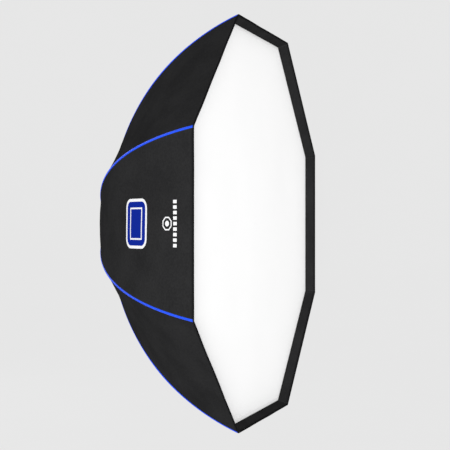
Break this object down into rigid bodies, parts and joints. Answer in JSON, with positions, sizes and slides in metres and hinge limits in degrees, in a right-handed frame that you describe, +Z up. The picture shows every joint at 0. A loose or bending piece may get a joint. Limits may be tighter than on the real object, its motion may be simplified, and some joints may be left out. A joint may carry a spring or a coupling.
{
  "type": "folding studio softbox",
  "caption": "Deep eight-sided parabolic softbox: hinged ribs fold from a rotating hub ring behind a black cover and white diffuser.",
  "frame": {"origin": "centre of the light mount's bore, on the seat face that meets the lamp", "axes": "+Y is the optical axis pointing back to the lamp, the diffuser faces -Y, +Z is up with flats of the octagon at top and bottom"},
  "size_m": [1.391, 0.6154, 1.391],
  "materials": {
    "mount_metal": "satin",
    "hub_metal": "satin black",
    "screws": "bright",
    "posts": "polished",
    "push_plastic": "moulded black",
    "knob": "moulded black",
    "cuff_fabric": "woven black",
    "rod": "glass-fibre rod",
    "knuckle": "satin black",
    "piping": "woven blue tape",
    "shell_fabric": "coated black nylon, silver inside",
    "diffuser_fabric": "white diffusion cloth"
  },
  "bodies": {
    "mount": {"mount_ring": "mount_metal", "retaining_ring": "hub_metal", "retaining_screws": "screws"},
    "hub": {"hub_ring": "hub_metal", "rib_hinge_pins": "screws", "guide_posts": "posts", "post_end_ring": "push_plastic", "rear_cuff": "cuff_fabric"},
    "lock": {"lock_knob": "knob", "lock_screw": "screws"},
    "push_ring": {"push_ring": "push_plastic"},
    "rib_1": {"rib_rod_1": "rod", "rib_knuckle_1": "knuckle", "seam_piping_1": "piping"},
    "rib_2": {"rib_rod_2": "rod", "rib_knuckle_2": "knuckle", "seam_piping_2": "piping"},
    "rib_3": {"rib_rod_3": "rod", "rib_knuckle_3": "knuckle", "seam_piping_3": "piping"},
    "rib_4": {"rib_rod_4": "rod", "rib_knuckle_4": "knuckle", "seam_piping_4": "piping"},
    "rib_5": {"rib_rod_5": "rod", "rib_knuckle_5": "knuckle", "seam_piping_5": "piping"},
    "rib_6": {"rib_rod_6": "rod", "rib_knuckle_6": "knuckle", "seam_piping_6": "piping"},
    "rib_7": {"rib_rod_7": "rod", "rib_knuckle_7": "knuckle", "seam_piping_7": "piping"},
    "rib_8": {"rib_rod_8": "rod", "rib_knuckle_8": "knuckle", "seam_piping_8": "piping"},
    "panel_1_left": {"shell_panel_1_left": "shell_fabric"},
    "panel_1_right": {"shell_panel_1_right": "shell_fabric"},
    "panel_2_left": {"shell_panel_2_left": "shell_fabric"},
    "panel_2_right": {"shell_panel_2_right": "shell_fabric"},
    "panel_3_left": {"shell_panel_3_left": "shell_fabric"},
    "panel_3_right": {"shell_panel_3_right": "shell_fabric"},
    "panel_4_left": {"shell_panel_4_left": "shell_fabric"},
    "panel_4_right": {"shell_panel_4_right": "shell_fabric"},
    "panel_5_left": {"shell_panel_5_left": "shell_fabric"},
    "panel_5_right": {"shell_panel_5_right": "shell_fabric"},
    "panel_6_left": {"shell_panel_6_left": "shell_fabric"},
    "panel_6_right": {"shell_panel_6_right": "shell_fabric"},
    "panel_7_left": {"shell_panel_7_left": "shell_fabric"},
    "panel_7_right": {"shell_panel_7_right": "shell_fabric"},
    "panel_8_left": {"shell_panel_8_left": "shell_fabric"},
    "panel_8_right": {"shell_panel_8_right": "shell_fabric"},
    "diffuser_1": {"diffuser_panel_1": "diffuser_fabric"},
    "diffuser_2": {"diffuser_panel_2": "diffuser_fabric"},
    "diffuser_3": {"diffuser_panel_3": "diffuser_fabric"},
    "diffuser_4": {"diffuser_panel_4": "diffuser_fabric"},
    "diffuser_5": {"diffuser_panel_5": "diffuser_fabric"},
    "diffuser_6": {"diffuser_panel_6": "diffuser_fabric"},
    "diffuser_7": {"diffuser_panel_7": "diffuser_fabric"},
    "diffuser_8": {"diffuser_panel_8": "diffuser_fabric"}
  },
  "joints": [
    {"name": "hub_turn", "type": "hinge", "parent": "mount", "child": "hub", "pos_m": [0, -0.014, 0], "axis": [0, 1, 0], "continuous": true},
    {"name": "lock_turn", "type": "hinge", "parent": "hub", "child": "lock", "pos_m": [0, -0.013, 0.095], "axis": [0, 0, 1], "range_deg": [0, 360]},
    {"name": "rib_1_fold", "type": "hinge", "parent": "hub", "child": "rib_1", "pos_m": [0.085, -0.043, 0.03521], "axis": [0.3827, 0, -0.9239], "range_deg": [0, 52]},
    {"name": "rib_2_fold", "type": "hinge", "parent": "hub", "child": "rib_2", "pos_m": [0.03521, -0.043, 0.085], "axis": [0.9239, 0, -0.3827], "range_deg": [0, 52]},
    {"name": "rib_3_fold", "type": "hinge", "parent": "hub", "child": "rib_3", "pos_m": [-0.03521, -0.043, 0.085], "axis": [0.9239, 0, 0.3827], "range_deg": [0, 52]},
    {"name": "rib_4_fold", "type": "hinge", "parent": "hub", "child": "rib_4", "pos_m": [-0.085, -0.043, 0.03521], "axis": [0.3827, 0, 0.9239], "range_deg": [0, 52]},
    {"name": "rib_5_fold", "type": "hinge", "parent": "hub", "child": "rib_5", "pos_m": [-0.085, -0.043, -0.03521], "axis": [-0.3827, 0, 0.9239], "range_deg": [0, 52]},
    {"name": "rib_6_fold", "type": "hinge", "parent": "hub", "child": "rib_6", "pos_m": [-0.03521, -0.043, -0.085], "axis": [-0.9239, 0, 0.3827], "range_deg": [0, 52]},
    {"name": "rib_7_fold", "type": "hinge", "parent": "hub", "child": "rib_7", "pos_m": [0.03521, -0.043, -0.085], "axis": [-0.9239, 0, -0.3827], "range_deg": [0, 52]},
    {"name": "rib_8_fold", "type": "hinge", "parent": "hub", "child": "rib_8", "pos_m": [0.085, -0.043, -0.03521], "axis": [-0.3827, 0, -0.9239], "range_deg": [0, 52]},
    {"name": "push_ring_slide", "type": "slide", "parent": "hub", "child": "push_ring", "axis": [0, 1, 0], "range_m": [0, 0.02631]},
    {"name": "panel_1_left_follow", "type": "hinge", "parent": "rib_1", "child": "panel_1_left", "pos_m": [0.09958, -0.043, 0], "axis": [-0.9117, -0.4108, 0], "range_deg": [0, 19.32], "deforming": ["shell_panel_1_left"]},
    {"name": "panel_1_right_follow", "type": "hinge", "parent": "rib_1", "child": "panel_1_right", "pos_m": [0.07041, -0.043, 0.07041], "axis": [0.6447, 0.4108, 0.6447], "range_deg": [0, 19.32], "deforming": ["shell_panel_1_right"]},
    {"name": "panel_2_left_follow", "type": "hinge", "parent": "rib_2", "child": "panel_2_left", "pos_m": [0.07041, -0.043, 0.07041], "axis": [-0.6447, -0.4108, -0.6447], "range_deg": [0, 19.32], "deforming": ["shell_panel_2_left"]},
    {"name": "panel_2_right_follow", "type": "hinge", "parent": "rib_2", "child": "panel_2_right", "pos_m": [0, -0.043, 0.09958], "axis": [0, 0.4108, 0.9117], "range_deg": [0, 19.32], "deforming": ["shell_panel_2_right"]},
    {"name": "panel_3_left_follow", "type": "hinge", "parent": "rib_3", "child": "panel_3_left", "pos_m": [0, -0.043, 0.09958], "axis": [0, -0.4108, -0.9117], "range_deg": [0, 19.32], "deforming": ["shell_panel_3_left"]},
    {"name": "panel_3_right_follow", "type": "hinge", "parent": "rib_3", "child": "panel_3_right", "pos_m": [-0.07041, -0.043, 0.07041], "axis": [-0.6447, 0.4108, 0.6447], "range_deg": [0, 19.32], "deforming": ["shell_panel_3_right"]},
    {"name": "panel_4_left_follow", "type": "hinge", "parent": "rib_4", "child": "panel_4_left", "pos_m": [-0.07041, -0.043, 0.07041], "axis": [0.6447, -0.4108, -0.6447], "range_deg": [0, 19.32], "deforming": ["shell_panel_4_left"]},
    {"name": "panel_4_right_follow", "type": "hinge", "parent": "rib_4", "child": "panel_4_right", "pos_m": [-0.09958, -0.043, 0], "axis": [-0.9117, 0.4108, 0], "range_deg": [0, 19.32], "deforming": ["shell_panel_4_right"]},
    {"name": "panel_5_left_follow", "type": "hinge", "parent": "rib_5", "child": "panel_5_left", "pos_m": [-0.09958, -0.043, 0], "axis": [0.9117, -0.4108, 0], "range_deg": [0, 19.32], "deforming": ["shell_panel_5_left"]},
    {"name": "panel_5_right_follow", "type": "hinge", "parent": "rib_5", "child": "panel_5_right", "pos_m": [-0.07041, -0.043, -0.07041], "axis": [-0.6447, 0.4108, -0.6447], "range_deg": [0, 19.32], "deforming": ["shell_panel_5_right"]},
    {"name": "panel_6_left_follow", "type": "hinge", "parent": "rib_6", "child": "panel_6_left", "pos_m": [-0.07041, -0.043, -0.07041], "axis": [0.6447, -0.4108, 0.6447], "range_deg": [0, 19.32], "deforming": ["shell_panel_6_left"]},
    {"name": "panel_6_right_follow", "type": "hinge", "parent": "rib_6", "child": "panel_6_right", "pos_m": [0, -0.043, -0.09958], "axis": [0, 0.4108, -0.9117], "range_deg": [0, 19.32], "deforming": ["shell_panel_6_right"]},
    {"name": "panel_7_left_follow", "type": "hinge", "parent": "rib_7", "child": "panel_7_left", "pos_m": [0, -0.043, -0.09958], "axis": [0, -0.4108, 0.9117], "range_deg": [0, 19.32], "deforming": ["shell_panel_7_left"]},
    {"name": "panel_7_right_follow", "type": "hinge", "parent": "rib_7", "child": "panel_7_right", "pos_m": [0.07041, -0.043, -0.07041], "axis": [0.6447, 0.4108, -0.6447], "range_deg": [0, 19.32], "deforming": ["shell_panel_7_right"]},
    {"name": "panel_8_left_follow", "type": "hinge", "parent": "rib_8", "child": "panel_8_left", "pos_m": [0.07041, -0.043, -0.07041], "axis": [-0.6447, -0.4108, 0.6447], "range_deg": [0, 19.32], "deforming": ["shell_panel_8_left"]},
    {"name": "panel_8_right_follow", "type": "hinge", "parent": "rib_8", "child": "panel_8_right", "pos_m": [0.09958, -0.043, 0], "axis": [0.9117, 0.4108, 0], "range_deg": [0, 19.32], "deforming": ["shell_panel_8_right"]},
    {"name": "diffuser_1_follow", "type": "hinge", "parent": "rib_1", "child": "diffuser_1", "pos_m": [0.66242, -0.56925, 0.27438], "axis": [0.3827, 0, -0.9239], "range_deg": [0, 33.51], "deforming": ["diffuser_panel_1"]},
    {"name": "diffuser_2_follow", "type": "hinge", "parent": "rib_2", "child": "diffuser_2", "pos_m": [0.27438, -0.56925, 0.66242], "axis": [0.9239, 0, -0.3827], "range_deg": [0, 33.51], "deforming": ["diffuser_panel_2"]},
    {"name": "diffuser_3_follow", "type": "hinge", "parent": "rib_3", "child": "diffuser_3", "pos_m": [-0.27438, -0.56925, 0.66242], "axis": [0.9239, 0, 0.3827], "range_deg": [0, 33.51], "deforming": ["diffuser_panel_3"]},
    {"name": "diffuser_4_follow", "type": "hinge", "parent": "rib_4", "child": "diffuser_4", "pos_m": [-0.66242, -0.56925, 0.27438], "axis": [0.3827, 0, 0.9239], "range_deg": [0, 33.51], "deforming": ["diffuser_panel_4"]},
    {"name": "diffuser_5_follow", "type": "hinge", "parent": "rib_5", "child": "diffuser_5", "pos_m": [-0.66242, -0.56925, -0.27438], "axis": [-0.3827, 0, 0.9239], "range_deg": [0, 33.51], "deforming": ["diffuser_panel_5"]},
    {"name": "diffuser_6_follow", "type": "hinge", "parent": "rib_6", "child": "diffuser_6", "pos_m": [-0.27438, -0.56925, -0.66242], "axis": [-0.9239, 0, 0.3827], "range_deg": [0, 33.51], "deforming": ["diffuser_panel_6"]},
    {"name": "diffuser_7_follow", "type": "hinge", "parent": "rib_7", "child": "diffuser_7", "pos_m": [0.27438, -0.56925, -0.66242], "axis": [-0.9239, 0, -0.3827], "range_deg": [0, 33.51], "deforming": ["diffuser_panel_7"]},
    {"name": "diffuser_8_follow", "type": "hinge", "parent": "rib_8", "child": "diffuser_8", "pos_m": [0.66242, -0.56925, -0.27438], "axis": [-0.3827, 0, -0.9239], "range_deg": [0, 33.51], "deforming": ["diffuser_panel_8"]}
  ],
  "couplings": [
    {"joint": "rib_2_fold", "follows": "rib_1_fold", "ratio": 1},
    {"joint": "rib_3_fold", "follows": "rib_1_fold", "ratio": 1},
    {"joint": "rib_4_fold", "follows": "rib_1_fold", "ratio": 1},
    {"joint": "rib_5_fold", "follows": "rib_1_fold", "ratio": 1},
    {"joint": "rib_6_fold", "follows": "rib_1_fold", "ratio": 1},
    {"joint": "rib_7_fold", "follows": "rib_1_fold", "ratio": 1},
    {"joint": "rib_8_fold", "follows": "rib_1_fold", "ratio": 1},
    {"joint": "push_ring_slide", "follows": "rib_1_fold", "m_per_rad": 0.028981},
    {"joint": "panel_1_left_follow", "follows": "rib_1_fold", "ratio": 0.37144},
    {"joint": "panel_1_right_follow", "follows": "rib_1_fold", "ratio": 0.37144},
    {"joint": "panel_2_left_follow", "follows": "rib_1_fold", "ratio": 0.37144},
    {"joint": "panel_2_right_follow", "follows": "rib_1_fold", "ratio": 0.37144},
    {"joint": "panel_3_left_follow", "follows": "rib_1_fold", "ratio": 0.37144},
    {"joint": "panel_3_right_follow", "follows": "rib_1_fold", "ratio": 0.37144},
    {"joint": "panel_4_left_follow", "follows": "rib_1_fold", "ratio": 0.37144},
    {"joint": "panel_4_right_follow", "follows": "rib_1_fold", "ratio": 0.37144},
    {"joint": "panel_5_left_follow", "follows": "rib_1_fold", "ratio": 0.37144},
    {"joint": "panel_5_right_follow", "follows": "rib_1_fold", "ratio": 0.37144},
    {"joint": "panel_6_left_follow", "follows": "rib_1_fold", "ratio": 0.37144},
    {"joint": "panel_6_right_follow", "follows": "rib_1_fold", "ratio": 0.37144},
    {"joint": "panel_7_left_follow", "follows": "rib_1_fold", "ratio": 0.37144},
    {"joint": "panel_7_right_follow", "follows": "rib_1_fold", "ratio": 0.37144},
    {"joint": "panel_8_left_follow", "follows": "rib_1_fold", "ratio": 0.37144},
    {"joint": "panel_8_right_follow", "follows": "rib_1_fold", "ratio": 0.37144},
    {"joint": "diffuser_1_follow", "follows": "rib_1_fold", "ratio": 0.64423},
    {"joint": "diffuser_2_follow", "follows": "rib_1_fold", "ratio": 0.64423},
    {"joint": "diffuser_3_follow", "follows": "rib_1_fold", "ratio": 0.64423},
    {"joint": "diffuser_4_follow", "follows": "rib_1_fold", "ratio": 0.64423},
    {"joint": "diffuser_5_follow", "follows": "rib_1_fold", "ratio": 0.64423},
    {"joint": "diffuser_6_follow", "follows": "rib_1_fold", "ratio": 0.64423},
    {"joint": "diffuser_7_follow", "follows": "rib_1_fold", "ratio": 0.64423},
    {"joint": "diffuser_8_follow", "follows": "rib_1_fold", "ratio": 0.64423}
  ]
}
